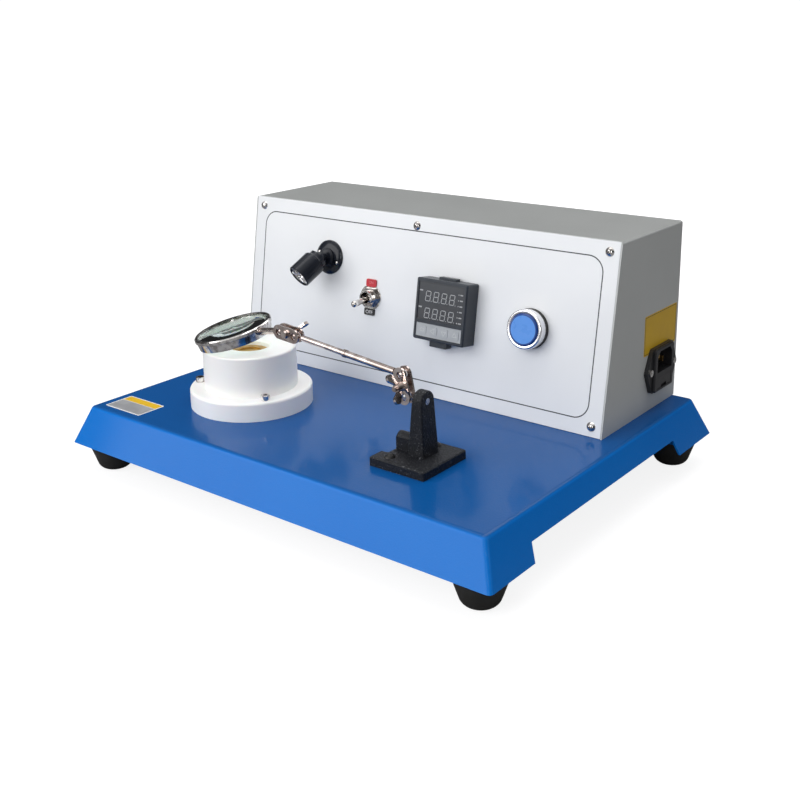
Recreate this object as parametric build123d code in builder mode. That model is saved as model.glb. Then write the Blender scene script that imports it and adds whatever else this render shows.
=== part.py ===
from build123d import *
from math import atan, cos, degrees, radians, sin
import os

# Bench melting point apparatus. X runs to the right, Y to the back, Z up, in millimetres.
# The origin is on the bench, under the middle of the base tray.

# Base tray, folded from sheet with four flared skirts
base_length = 372.8
base_depth = 289.8
base_top = 52.3
tray_sheet = 1.5
skirt_drop = 29.5
skirt_flare = 12.0
fold_radius = 4.0
step_drop = 17.7
step_front = -104.5
step_back = 96.0
leg_lean = 3.5

# Rubber feet on corner plates inside the skirts
foot_x = 175.9
foot_y = 134.0
foot_height = 24.0
foot_top_radius = 20.0
foot_bottom_radius = 11.8
foot_round = 8.0
corner_plate = 2.0
corner_plate_size = 44.0

# Instrument cabinet on the back half of the base
cabinet_left = -186.4
cabinet_right = 170.3
cabinet_back = 144.9
cover_sheet = 1.2
flange_width = 12.0
panel_width = 354.0
panel_height = 141.0
panel_sheet = 2.0
panel_lean = 8.7
panel_foot_y = 26.3

# Places on the front panel, from the middle of its bottom edge
lamp_place = (-88.4, 97.5)
switch_place = (-40.9, 70.3)
controller_place = (39.3, 71.7)
button_place = (112.0, 69.7)
screw_u = 169.0
screw_v_low = 7.6
screw_v_high = 133.4

# Heated stage
stage_x = -90.7
stage_y = -62.2
stage_flange_radius = 47.8
stage_flange_height = 14.65
stage_radius = 36.4
stage_height = 46.3
stage_bore = 15.5
stage_rim = 16.8
well_depth = 4.8
block_seat = 8.0

# Magnifier stand, seen in the upright plane of its arm, with the stud's ball at zero
arm_yaw = 3.0
stud_ball = (79.0, -80.5, 97.5)
lower_rod_ball = (-3.5, 15.0)
upper_rod_ball = (-106.65, 22.6)
lens_rod_ball = (-122.15, 23.5)
lens_centre = (-177.0, 13.4)
lens_roll = 10.4
ball_radius = 3.0
rod_radius = 2.5
neck_radius = 1.2
neck_length = 7.0
lens_radius = 30.8

os.makedirs("parts", exist_ok=True)

sheet_fit = 0.15
metric_four = 2.0
metric_three = 1.5
clearance = 0.2
cabinet_width = cabinet_right - cabinet_left
cabinet_middle = (cabinet_left + cabinet_right) / 2
lean = radians(panel_lean)
cabinet_top = base_top + panel_height * cos(lean)
skirt_angle = degrees(atan(skirt_flare / skirt_drop))
panel_plane = Plane(
    origin=(cabinet_middle, panel_foot_y, base_top),
    x_dir=(1, 0, 0),
    z_dir=(0, -cos(lean), sin(lean)),
)


def save(piece, name):
    """Label a finished sub-part and write it to its own file."""
    piece.part.label = name
    export_step(piece.part, "parts/" + name + ".step")


def on_panel(place, out=0.0):
    """The plane parallel to the front panel, centred on a place and moved outwards."""
    return Plane(
        origin=panel_plane.from_local_coords((place[0], place[1], out)),
        x_dir=panel_plane.x_dir,
        z_dir=panel_plane.z_dir,
    )


def upright(x, y, z=0.0):
    """The plane through a vertical axis in which that axis's turned pieces are drawn."""
    return Plane(origin=(x, y, z), x_dir=(1, 0, 0), z_dir=(0, -1, 0))


def turned_plane(plane):
    """The plane through another plane's axis, with that axis as its own Y."""
    return Plane(origin=plane.origin, x_dir=plane.x_dir, z_dir=-plane.y_dir)


# Fastener places
foot_places = [(x, y) for x in (-foot_x, foot_x) for y in (-foot_y, foot_y)]
stage_screw_circle = 41.8
stage_screw_angles = (-30, -150, 90)
stage_screw_places = [
    (
        stage_x + stage_screw_circle * cos(radians(angle)),
        stage_y + stage_screw_circle * sin(radians(angle)),
    )
    for angle in stage_screw_angles
]
bracket_screw_places = [(77.0, -97.5), (90.0, -62.5)]
cabinet_screw_places = [
    (x, y)
    for x in (cabinet_left + flange_width / 2 + 1, cabinet_right - flange_width / 2 - 1)
    for y in (panel_foot_y + 22, cabinet_back - 22)
]
panel_screw_places = [
    (u, v) for u in (-screw_u, 0, screw_u) for v in (screw_v_low, screw_v_high)
]
top_screw_places = stage_screw_places + bracket_screw_places + cabinet_screw_places
lead_hole_places = [(stage_x, stage_y), (stage_x, 70.0)]
lead_hole_radius = 11.0

# Base tray: a flared sheet pan whose side skirts step up between the legs
with BuildPart() as base_tray:
    with BuildSketch(Plane.XY.offset(base_top)):
        Rectangle(base_length, base_depth)
    extrude(amount=-skirt_drop, taper=-skirt_angle)
    skirt_corners = base_tray.edges().filter_by(
        lambda edge: abs(edge.tangent_at(0.5).Z) > 0.5
    )
    top_folds = base_tray.faces().sort_by(Axis.Z)[-1].edges()
    fillet(skirt_corners + top_folds, radius=fold_radius)
    offset(amount=-tray_sheet, openings=base_tray.faces().sort_by(Axis.Z)[0])
    with BuildSketch(Plane.YZ):
        with BuildLine():
            Polyline(
                (step_front, base_top - step_drop),
                (step_back, base_top - step_drop),
                (step_back + leg_lean, base_top - skirt_drop - 1),
                (step_front - leg_lean, base_top - skirt_drop - 1),
                close=True,
            )
        make_face()
    extrude(amount=base_length, both=True, mode=Mode.SUBTRACT)
    with BuildSketch(Plane.XY.offset(base_top)):
        with Locations(*top_screw_places):
            Circle(metric_four + clearance)
        with Locations(*lead_hole_places):
            Circle(lead_hole_radius)
    extrude(amount=-2 * tray_sheet, mode=Mode.SUBTRACT)
save(base_tray, "base_tray")

# Corner plates: welded inside the legs, they carry the feet
plate_top = foot_height + corner_plate
skirt_wall = tray_sheet / cos(radians(skirt_angle))
plate_reach = skirt_flare * (base_top - plate_top) / skirt_drop - skirt_wall - sheet_fit
with BuildPart() as corner_plates:
    with BuildSketch(Plane.XY.offset(plate_top)):
        RectangleRounded(
            base_length + 2 * plate_reach, base_depth + 2 * plate_reach, fold_radius
        )
    extrude(amount=-corner_plate, taper=-skirt_angle)
    with BuildSketch(Plane.XY.offset(foot_height)):
        with Locations(*foot_places):
            RectangleRounded(2 * corner_plate_size, 2 * corner_plate_size, 4)
    extrude(amount=corner_plate, mode=Mode.INTERSECT)
    with BuildSketch(Plane.XY.offset(foot_height)):
        Rectangle(2 * (foot_x - corner_plate_size / 2), base_depth * 2)
        Rectangle(base_length * 2, 2 * (foot_y - corner_plate_size / 2))
    extrude(amount=corner_plate, mode=Mode.SUBTRACT)
    with BuildSketch(Plane.XY.offset(foot_height)):
        with Locations(*foot_places):
            Circle(metric_four + clearance)
    extrude(amount=corner_plate, mode=Mode.SUBTRACT)
save(corner_plates, "corner_plates")

# Rubber feet: tapered domes with a deep screw recess underneath
foot_recess_radius = 4.2
foot_recess_depth = 9.0
with BuildPart() as rubber_feet:
    for x, y in foot_places:
        with BuildSketch(upright(x, y)):
            with BuildLine():
                Polyline(
                    (metric_four + clearance, foot_recess_depth),
                    (foot_recess_radius, foot_recess_depth),
                    (foot_recess_radius, 0),
                    (foot_bottom_radius, 0),
                    (foot_top_radius, foot_height),
                    (metric_four + clearance, foot_height),
                    close=True,
                )
            make_face()
            sole = vertices().group_by(Axis.Y)[0].sort_by(Axis.X)[-1]
            fillet(sole, radius=foot_round)
        revolve(axis=Axis((x, y, 0), (0, 0, 1)))
save(rubber_feet, "rubber_feet")


def pan_screw(place, radius, head_radius, head_height, length):
    """A pan head screw whose head sits on the plane and whose shank runs below it."""
    with BuildPart() as screw:
        with BuildSketch(turned_plane(place)):
            with BuildLine():
                Polyline((0, head_height), (0, -length), (radius, -length), (radius, 0))
                Line((radius, 0), (head_radius, 0))
                TangentArc((0, head_height), (head_radius, 0), tangent=(1, 0))
            make_face()
        revolve(axis=Axis(place.origin, place.z_dir))
    return screw.part


def cap_screw(place, radius, head_radius, head_height, length):
    """A socket head screw whose head sits on the plane."""
    with BuildPart() as screw:
        with BuildSketch(place):
            Circle(head_radius)
        extrude(amount=head_height)
        head_face = screw.faces().sort_by(Axis(place.origin, place.z_dir))[-1]
        chamfer(head_face.edges(), 0.4)
        with BuildSketch(place):
            Circle(radius)
        extrude(amount=-length)
        with BuildSketch(place.offset(head_height)):
            RegularPolygon(0.75 * radius, 6, major_radius=False)
        extrude(amount=-0.55 * head_height, mode=Mode.SUBTRACT)
    return screw.part


def hex_nut(place, across, height, bore):
    """A hexagon nut that stands on the plane."""
    with BuildPart() as nut:
        with BuildSketch(place):
            RegularPolygon(across / 2, 6, major_radius=False)
            Circle(bore, mode=Mode.SUBTRACT)
        extrude(amount=height)
    return nut.part


# Foot screws and their nuts
nut_across = 7.0
nut_height = 3.2
with BuildPart() as foot_screws:
    for x, y in foot_places:
        foot_screw_plane = Plane(
            origin=(x, y, foot_recess_depth), x_dir=(1, 0, 0), z_dir=(0, 0, -1)
        )
        add(pan_screw(foot_screw_plane, metric_four, 3.8, 2.6, 22.0))
save(foot_screws, "foot_screws")

with BuildPart() as foot_nuts:
    for x, y in foot_places:
        add(hex_nut(Plane(origin=(x, y, plate_top)), nut_across, nut_height, metric_four))
save(foot_nuts, "foot_nuts")

with BuildPart() as under_base_nuts:
    for x, y in top_screw_places:
        under_top = Plane(origin=(x, y, base_top - tray_sheet - nut_height))
        add(hex_nut(under_top, nut_across, nut_height, metric_four))
save(under_base_nuts, "under_base_nuts")

# Cabinet cover: top and two sides folded from one sheet, with return flanges
cabinet_height = cabinet_top - base_top
rear_screw_x = cabinet_width / 2 - flange_width / 2 - 1
rear_screw_z = cabinet_height / 2 - flange_width / 2 - 1
back_plane = Plane(
    origin=(cabinet_middle, cabinet_back - panel_sheet, (base_top + cabinet_top) / 2),
    x_dir=(-1, 0, 0),
    z_dir=(0, 1, 0),
)
roof_front_y = panel_foot_y + panel_height * sin(lean)
inlet_place = (114.5, 84.0)
inlet_cut_width = 28.0
inlet_cut_height = 32.0
with BuildPart() as cabinet_cover:
    with BuildSketch(Plane.YZ.offset(cabinet_left)):
        with BuildLine():
            Polyline(
                (panel_foot_y, base_top),
                (roof_front_y, cabinet_top),
                (cabinet_back, cabinet_top),
                (cabinet_back, base_top),
                close=True,
            )
        make_face()
    extrude(amount=cabinet_width)
    roof_folds = cabinet_cover.faces().sort_by(Axis.Z)[-1].edges().filter_by(Axis.Y)
    fillet(roof_folds, radius=1.8)
    cabinet_openings = [
        cabinet_cover.faces().sort_by(Axis.Y)[0],
        cabinet_cover.faces().sort_by(Axis.Y)[-1],
        cabinet_cover.faces().sort_by(Axis.Z)[0],
    ]
    offset(amount=-cover_sheet, openings=cabinet_openings)
    with BuildSketch(panel_plane.offset(-panel_sheet)):
        with Locations((0, panel_height / 2)):
            Rectangle(cabinet_width - cover_sheet, panel_height - 1)
            Rectangle(
                cabinet_width - 2 * flange_width,
                panel_height - 2 * flange_width,
                mode=Mode.SUBTRACT,
            )
    extrude(amount=-cover_sheet)
    with BuildSketch(back_plane):
        Rectangle(cabinet_width - cover_sheet, cabinet_height - cover_sheet)
        Rectangle(
            cabinet_width - 2 * flange_width,
            cabinet_height - 2 * flange_width,
            mode=Mode.SUBTRACT,
        )
    extrude(amount=-cover_sheet)
    with BuildSketch(Plane.XY.offset(base_top)):
        foot_flange_depth = cabinet_back - panel_foot_y - 12
        for side in (-1, 1):
            flange_x = cabinet_middle + side * (cabinet_width - flange_width) / 2
            with Locations((flange_x, (cabinet_back + panel_foot_y) / 2)):
                Rectangle(flange_width, foot_flange_depth)
    extrude(amount=cover_sheet)
    with BuildSketch(panel_plane.offset(-panel_sheet)):
        with Locations((0, panel_height / 2)):
            Rectangle(panel_width + 2 * sheet_fit, panel_height + 10)
    extrude(amount=panel_sheet + 5, mode=Mode.SUBTRACT)
    with BuildSketch(back_plane):
        with GridLocations(rear_screw_x, 2 * rear_screw_z, 3, 2):
            Circle(metric_three + clearance)
    extrude(amount=-2 * cover_sheet, mode=Mode.SUBTRACT)
    with BuildSketch(Plane.XY.offset(base_top)):
        with Locations(*cabinet_screw_places):
            Circle(metric_four + clearance)
    extrude(amount=cover_sheet, mode=Mode.SUBTRACT)
    with BuildSketch(Plane.YZ.offset(cabinet_right - 2 * cover_sheet)):
        with Locations(inlet_place):
            Rectangle(inlet_cut_width, inlet_cut_height)
    extrude(amount=4 * cover_sheet, mode=Mode.SUBTRACT)
    with BuildSketch(panel_plane.offset(-panel_sheet)):
        with Locations(*panel_screw_places):
            Circle(metric_three + clearance)
    extrude(amount=-cover_sheet, mode=Mode.SUBTRACT)
save(cabinet_cover, "cabinet_cover")

# Front panel: one flat plate with its cut-outs
controller_cut = 45.0
button_bore = 11.1
switch_bore = 6.1
lamp_bore = 3.5
panel_lift = 0.4
with BuildPart() as front_panel:
    with BuildSketch(panel_plane):
        with Locations((0, (panel_height + panel_lift) / 2)):
            RectangleRounded(panel_width, panel_height - panel_lift, 0.5)
        with Locations(*panel_screw_places):
            Circle(metric_three + clearance, mode=Mode.SUBTRACT)
        with Locations(controller_place):
            Rectangle(controller_cut, controller_cut, mode=Mode.SUBTRACT)
        with Locations(button_place):
            Circle(button_bore, mode=Mode.SUBTRACT)
        with Locations(switch_place):
            Circle(switch_bore, mode=Mode.SUBTRACT)
        with Locations(lamp_place):
            Circle(lamp_bore, mode=Mode.SUBTRACT)
    extrude(amount=-panel_sheet)
save(front_panel, "front_panel")

with BuildPart() as panel_screws:
    for place in panel_screw_places:
        add(pan_screw(on_panel(place), metric_three, 3.6, 2.2, 8.0))
save(panel_screws, "panel_screws")

# Rear panel: a plate with two banks of ventilation slots
rear_height = cabinet_height - 2 * cover_sheet
slot_length = 60.0
slot_width = 3.0
slot_pitch = 9.0
slot_rows = 7
with BuildPart() as rear_panel:
    with BuildSketch(back_plane):
        RectangleRounded(panel_width, rear_height, 1.5)
        with GridLocations(rear_screw_x, 2 * rear_screw_z, 3, 2):
            Circle(metric_three + clearance, mode=Mode.SUBTRACT)
        with GridLocations(200, slot_pitch, 2, slot_rows):
            SlotOverall(slot_length, slot_width, mode=Mode.SUBTRACT)
    extrude(amount=panel_sheet)
save(rear_panel, "rear_panel")

rear_screw_face = Plane(
    origin=back_plane.from_local_coords((0, 0, panel_sheet)),
    x_dir=back_plane.x_dir,
    z_dir=back_plane.z_dir,
)
with BuildPart() as rear_screws:
    for u in (-rear_screw_x, 0, rear_screw_x):
        for v in (-rear_screw_z, rear_screw_z):
            rear_screw_plane = Plane(
                origin=rear_screw_face.from_local_coords((u, v, 0)),
                x_dir=rear_screw_face.x_dir,
                z_dir=rear_screw_face.z_dir,
            )
            add(pan_screw(rear_screw_plane, metric_three, 3.0, 1.8, 8.0))
save(rear_screws, "rear_screws")

with BuildPart() as cabinet_screws:
    for x, y in cabinet_screw_places:
        flange_top = Plane(origin=(x, y, base_top + cover_sheet))
        add(pan_screw(flange_top, metric_four, 3.9, 2.6, 9.0))
save(cabinet_screws, "cabinet_screws")

# Lamp: a domed flange, a ringed neck with a ball, and a swivelling head
lamp_flange_radius = 14.3
lamp_flange_height = 4.0
lamp_ball_out = 14.0
lamp_ball_radius = 5.0
lamp_aim = Vector(-0.21, -0.81, -0.54).normalized()
lamp_side = panel_plane.z_dir.cross(lamp_aim).normalized()
lamp_root = on_panel(lamp_place)
lamp_screw_angles = (-20, 160)
lamp_screw_circle = 10.4
lamp_screw_seat = 2.2
lamp_screw_places = [
    (
        lamp_place[0] + lamp_screw_circle * cos(radians(angle)),
        lamp_place[1] + lamp_screw_circle * sin(radians(angle)),
    )
    for angle in lamp_screw_angles
]
with BuildPart() as lamp_flange:
    with BuildSketch(turned_plane(lamp_root)):
        with BuildLine():
            Polyline(
                (lamp_bore, lamp_flange_height),
                (lamp_bore, 0),
                (lamp_flange_radius, 0),
                (lamp_flange_radius, 1.2),
            )
            ThreePointArc((lamp_flange_radius, 1.2), (11.6, 3.1), (7.6, lamp_flange_height))
            Line((7.6, lamp_flange_height), (lamp_bore, lamp_flange_height))
        make_face()
    revolve(axis=Axis(lamp_root.origin, lamp_root.z_dir))
    for place in lamp_screw_places:
        with BuildSketch(on_panel(place, lamp_screw_seat)):
            Circle(2.1)
        extrude(amount=lamp_flange_height, mode=Mode.SUBTRACT)
        with BuildSketch(on_panel(place)):
            Circle(0.9)
        extrude(amount=lamp_screw_seat, mode=Mode.SUBTRACT)
save(lamp_flange, "lamp_flange")

with BuildPart() as lamp_screws:
    for place in lamp_screw_places:
        add(pan_screw(on_panel(place, lamp_screw_seat), 0.8, 1.9, 1.5, 2.0))
save(lamp_screws, "lamp_screws")

lamp_stem = 3.2
stem_meets_ball = (lamp_ball_radius**2 - lamp_stem**2) ** 0.5
with BuildPart() as lamp_neck:
    with BuildSketch(turned_plane(lamp_root)):
        with BuildLine():
            Polyline(
                (0, -panel_sheet - 6.0),
                (lamp_bore - 0.4, -panel_sheet - 6.0),
                (lamp_bore - 0.4, lamp_flange_height + 0.1),
                (7.0, lamp_flange_height + 0.1),
            )
            ThreePointArc(
                (7.0, lamp_flange_height + 0.1),
                (7.6, lamp_flange_height + 0.8),
                (7.0, lamp_flange_height + 1.5),
            )
            ThreePointArc(
                (7.0, lamp_flange_height + 1.5),
                (7.1, lamp_flange_height + 2.1),
                (6.2, lamp_flange_height + 2.7),
            )
            Polyline(
                (6.2, lamp_flange_height + 2.7),
                (lamp_stem, lamp_flange_height + 2.9),
                (lamp_stem, lamp_ball_out - stem_meets_ball),
            )
            ThreePointArc(
                (lamp_stem, lamp_ball_out - stem_meets_ball),
                (lamp_ball_radius, lamp_ball_out),
                (0, lamp_ball_out + lamp_ball_radius),
            )
            Line((0, lamp_ball_out + lamp_ball_radius), (0, -panel_sheet - 6.0))
        make_face()
    revolve(axis=Axis(lamp_root.origin, lamp_root.z_dir))
save(lamp_neck, "lamp_neck")

lamp_pivot = on_panel(lamp_place, lamp_ball_out).origin
lamp_axis_plane = Plane(origin=lamp_pivot, x_dir=lamp_side, z_dir=lamp_aim)
lamp_socket_radius = 8.2
lamp_head_radius = 10.3
lamp_head_length = 24.5
lamp_wall = 1.2
with BuildPart() as lamp_head:
    with BuildSketch(turned_plane(lamp_axis_plane)):
        with BuildLine():
            Polyline(
                (0, 6.6),
                (lamp_ball_radius + 0.35, 5.6),
                (lamp_ball_radius + 0.35, 0.5),
                (lamp_socket_radius, 0.5),
                (lamp_socket_radius, 3.2),
                (lamp_head_radius - 0.6, 5.0),
                (lamp_head_radius - 0.6, 5.6),
                (lamp_head_radius, 6.2),
                (lamp_head_radius, lamp_head_length - 0.6),
                (lamp_head_radius - 0.6, lamp_head_length),
                (lamp_head_radius - lamp_wall, lamp_head_length),
                (lamp_head_radius - lamp_wall, 8.4),
                (0, 8.4),
                close=True,
            )
        make_face()
    revolve(axis=Axis(lamp_pivot, lamp_aim))
save(lamp_head, "lamp_head")

with BuildPart() as lamp_lens:
    with BuildSketch(turned_plane(lamp_axis_plane)):
        with BuildLine():
            Polyline(
                (0, 18.0),
                (3.0, 18.0),
                (lamp_head_radius - lamp_wall - 0.1, 21.4),
                (lamp_head_radius - lamp_wall - 0.1, lamp_head_length - 0.8),
                (0, lamp_head_length - 0.8),
                close=True,
            )
        make_face()
    revolve(axis=Axis(lamp_pivot, lamp_aim))
save(lamp_lens, "lamp_lens")

with BuildPart() as lamp_led:
    with BuildSketch(lamp_axis_plane.offset(8.4)):
        Circle(lamp_head_radius - lamp_wall - 0.1)
    extrude(amount=1.6)
    with BuildSketch(lamp_axis_plane.offset(10.0)):
        Rectangle(3.5, 3.5)
    extrude(amount=1.8)
save(lamp_led, "lamp_led")

# Toggle switch: housing and bushing, ON and OFF plate, nut and lever
bushing_length = 7.6
plate_radius = 10.5
plate_sheet = 0.8
tab_width = 9.6
tab_reach = 14.6
switch_plane = on_panel(switch_place)
with BuildPart() as switch_body:
    with BuildSketch(switch_plane.offset(-panel_sheet)):
        Rectangle(17, 27)
    extrude(amount=-20)
    with BuildSketch(switch_plane.offset(-panel_sheet)):
        Circle(6.0)
    extrude(amount=panel_sheet + bushing_length)
    with BuildSketch(turned_plane(switch_plane)):
        with BuildLine():
            Polyline((0, -5), (3.4, -5), (4.6, bushing_length), (0, bushing_length), close=True)
        make_face()
    revolve(axis=Axis(switch_plane.origin, switch_plane.z_dir), mode=Mode.SUBTRACT)
    with BuildSketch(switch_plane.offset(-panel_sheet - 20)):
        with GridLocations(0, 9, 1, 2):
            Rectangle(5, 0.8)
    extrude(amount=-8)
save(switch_body, "switch_body")

with BuildPart() as switch_plate:
    with BuildSketch(switch_plane):
        Circle(plate_radius)
        Rectangle(tab_width, 2 * tab_reach)
        Circle(6.05, mode=Mode.SUBTRACT)
    extrude(amount=plate_sheet)
save(switch_plate, "switch_plate")

with BuildPart() as switch_nut:
    add(hex_nut(switch_plane.offset(plate_sheet), 15.0, 3.2, 6.05))
    nut_face = switch_nut.faces().sort_by(Axis(switch_plane.origin, switch_plane.z_dir))[-1]
    chamfer(nut_face.edges().filter_by(GeomType.LINE), 0.4)
save(switch_nut, "switch_nut")

lever_tilt = 12.5
lever_length = 22.8
lever_pivot_out = 1.0
lever_ball = 2.9
lever_waist = 1.5
lever_tip = 2.8
waist_meets_ball = (lever_ball**2 - lever_waist**2) ** 0.5
lever_pivot = on_panel(switch_place, lever_pivot_out).origin
lever_lean = radians(lever_tilt)
lever_aim = panel_plane.z_dir * cos(lever_lean) - panel_plane.y_dir * sin(lever_lean)
lever_plane = Plane(origin=lever_pivot, x_dir=(1, 0, 0), z_dir=lever_aim)
with BuildPart() as switch_lever:
    with BuildSketch(turned_plane(lever_plane)):
        with BuildLine():
            ThreePointArc((0, -lever_ball), (lever_ball, 0), (lever_waist, waist_meets_ball))
            Line((lever_waist, waist_meets_ball), (lever_tip, lever_length - lever_tip))
            ThreePointArc(
                (lever_tip, lever_length - lever_tip),
                (lever_tip * cos(radians(45)), lever_length - lever_tip * (1 - sin(radians(45)))),
                (0, lever_length),
            )
            Line((0, lever_length), (0, -lever_ball))
        make_face()
    revolve(axis=Axis(lever_pivot, lever_aim))
save(switch_lever, "switch_lever")

# Temperature controller: a 48 mm square panel instrument
controller_face = 48.0
controller_out = 15.0
controller_depth = 82.0
controller_body = 44.6
face_rim = 2.6
window_height = 29.5
keypad_height = 10.6
controller_plane = on_panel(controller_place)
face_width = controller_face - 2 * face_rim
window_v = controller_face / 2 - face_rim - window_height / 2
keypad_v = -controller_face / 2 + face_rim + keypad_height / 2
with BuildPart() as controller_case:
    with BuildSketch(controller_plane):
        RectangleRounded(controller_face, controller_face, 1.5)
    extrude(amount=controller_out)
    rim_edges = controller_case.faces().sort_by(Axis.Y)[0].edges()
    chamfer(rim_edges, 1.0)
    with BuildSketch(controller_plane):
        Rectangle(controller_body, controller_body)
    extrude(amount=-controller_depth)
    with BuildSketch(controller_plane.offset(2.5)):
        Rectangle(16, controller_face + 3.6)
    extrude(amount=5.0)
    with BuildSketch(controller_plane.offset(controller_out)):
        with Locations((0, window_v)):
            Rectangle(face_width, window_height)
        with Locations((0, keypad_v)):
            Rectangle(face_width, keypad_height)
    extrude(amount=-1.4, mode=Mode.SUBTRACT)
save(controller_case, "controller_case")

with BuildPart() as controller_window:
    with BuildSketch(controller_plane.offset(controller_out - 1.4)):
        with Locations((0, window_v)):
            Rectangle(face_width - 0.1, window_height - 0.1)
    extrude(amount=0.7)
save(controller_window, "controller_window")

with BuildPart() as controller_keypad:
    with BuildSketch(controller_plane.offset(controller_out - 1.4)):
        with Locations((0, keypad_v)):
            Rectangle(face_width - 0.1, keypad_height - 0.1)
    extrude(amount=0.8)
    with BuildSketch(controller_plane.offset(controller_out - 0.6)):
        with Locations((0, keypad_v)):
            with GridLocations(10.2, 0, 4, 1):
                RectangleRounded(7.6, 6.4, 1.2)
    extrude(amount=0.35)
save(controller_keypad, "controller_keypad")

with BuildPart() as controller_bracket:
    with BuildSketch(controller_plane.offset(-panel_sheet)):
        Rectangle(controller_body + 6, controller_body + 6)
        Rectangle(controller_body + 0.2, controller_body + 0.2, mode=Mode.SUBTRACT)
    extrude(amount=-12)
save(controller_bracket, "controller_bracket")

# Power button: gasket, chrome collar, lens cap, back nut and contact block
collar_radius = 15.0
gasket_height = 3.2
collar_out = 10.4
cap_radius = 12.0
cap_out = 11.2
cap_travel = 2.5
cap_stem = 8.2
collar_floor = 5.1
button_plane = on_panel(button_place)
with BuildPart() as button_gasket:
    with BuildSketch(button_plane):
        Circle(collar_radius)
        Circle(button_bore, mode=Mode.SUBTRACT)
    extrude(amount=gasket_height)
save(button_gasket, "button_gasket")

with BuildPart() as button_collar:
    with BuildSketch(turned_plane(button_plane)):
        with BuildLine():
            Polyline(
                (cap_stem + 0.4, -14),
                (button_bore - 0.1, -14),
                (button_bore - 0.1, gasket_height),
                (collar_radius - 0.3, gasket_height),
                (collar_radius, collar_out - 1.6),
            )
            ThreePointArc(
                (collar_radius, collar_out - 1.6),
                (collar_radius - 0.5, collar_out - 0.4),
                (collar_radius - 1.5, collar_out),
            )
            Polyline(
                (collar_radius - 1.5, collar_out),
                (cap_radius + 0.5, collar_out - 0.2),
                (cap_radius + 0.35, collar_floor),
                (cap_stem + 0.4, collar_floor),
                (cap_stem + 0.4, -14),
            )
        make_face()
    revolve(axis=Axis(button_plane.origin, button_plane.z_dir))
save(button_collar, "button_collar")

with BuildPart() as button_nut:
    add(hex_nut(button_plane.offset(-panel_sheet - 3.5), 27.0, 3.5, button_bore))
save(button_nut, "button_nut")

with BuildPart() as button_cap:
    with BuildSketch(turned_plane(button_plane)):
        with BuildLine():
            Polyline(
                (0, -10),
                (cap_stem, -10),
                (cap_stem, collar_floor + cap_travel + 0.4),
                (cap_radius, collar_floor + cap_travel + 0.4),
                (cap_radius, cap_out - 0.7),
                (cap_radius - 0.7, cap_out),
                (0, cap_out),
                close=True,
            )
        make_face()
    revolve(axis=Axis(button_plane.origin, button_plane.z_dir))
save(button_cap, "button_cap")

with BuildPart() as contact_block:
    with BuildSketch(button_plane.offset(-14)):
        Rectangle(24, 30)
    extrude(amount=-34)
    with BuildSketch(button_plane.offset(-48)):
        with GridLocations(14, 20, 2, 2):
            Rectangle(0.8, 6)
    extrude(amount=-7)
save(contact_block, "contact_block")

# Mains inlet with a fuse drawer, on the right wall
inlet_plane = Plane(
    origin=(cabinet_right, inlet_place[0], inlet_place[1]), x_dir=(0, 1, 0), z_dir=(1, 0, 0)
)
inlet_width = 33.0
inlet_height = 35.0
inlet_ear = 25.0
ear_height = 3.2
inlet_out = 5.2
inlet_depth = 24.0
recess_width = 24.4
recess_height = 16.6
recess_depth = 17.0
recess_z = 6.4
drawer_width = 24.0
drawer_height = 9.0
drawer_z = -10.2
drawer_depth = 20.0
drawer_gap = 0.3
with BuildPart() as inlet_body:
    with BuildSketch(inlet_plane):
        with BuildLine():
            Polyline(
                (inlet_ear, 0),
                (inlet_width / 2, inlet_height / 2),
                (-inlet_width / 2, inlet_height / 2),
                (-inlet_ear, 0),
                (-inlet_width / 2, -inlet_height / 2),
                (inlet_width / 2, -inlet_height / 2),
                close=True,
            )
        make_face()
        fillet(vertices(), radius=2.5)
    extrude(amount=ear_height)
    with BuildSketch(inlet_plane):
        RectangleRounded(inlet_width - 1.2, inlet_height - 0.8, 2.5)
    extrude(amount=inlet_out)
    chamfer(inlet_body.faces().sort_by(Axis.X)[-1].edges(), 0.8)
    with BuildSketch(inlet_plane):
        Rectangle(inlet_cut_width - 0.4, inlet_cut_height - 0.4)
    extrude(amount=-inlet_depth)
    with BuildSketch(inlet_plane.offset(inlet_out)):
        with Locations((0, recess_z)):
            Rectangle(recess_width, recess_height)
        chamfer(vertices().group_by(Axis.Y)[-1], 4.0)
    extrude(amount=-recess_depth, mode=Mode.SUBTRACT)
    with BuildSketch(inlet_plane.offset(inlet_out)):
        with Locations((0, drawer_z)):
            Rectangle(drawer_width + 2 * drawer_gap, drawer_height + 2 * drawer_gap)
    extrude(amount=-drawer_depth - 1, mode=Mode.SUBTRACT)
save(inlet_body, "inlet_body")

pin_width = 2.0
pin_height = 4.0
pin_length = 12.0
pin_places = ((-7.0, recess_z - 2.0), (7.0, recess_z - 2.0), (0.0, recess_z + 2.0))
recess_floor = inlet_out - recess_depth
with BuildPart() as inlet_pins:
    for place in pin_places:
        with BuildSketch(inlet_plane.offset(recess_floor)):
            with Locations(place):
                Rectangle(pin_width, pin_height)
        extrude(amount=pin_length)
save(inlet_pins, "inlet_pins")

inlet_screw_y = 20.0
with BuildPart() as inlet_screws:
    for side in (-1, 1):
        inlet_screw_plane = Plane(
            origin=inlet_plane.from_local_coords((side * inlet_screw_y, 0, ear_height)),
            x_dir=inlet_plane.x_dir,
            z_dir=inlet_plane.z_dir,
        )
        with BuildSketch(inlet_screw_plane):
            Circle(2.6)
        extrude(amount=1.2)
save(inlet_screws, "inlet_screws")

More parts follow.
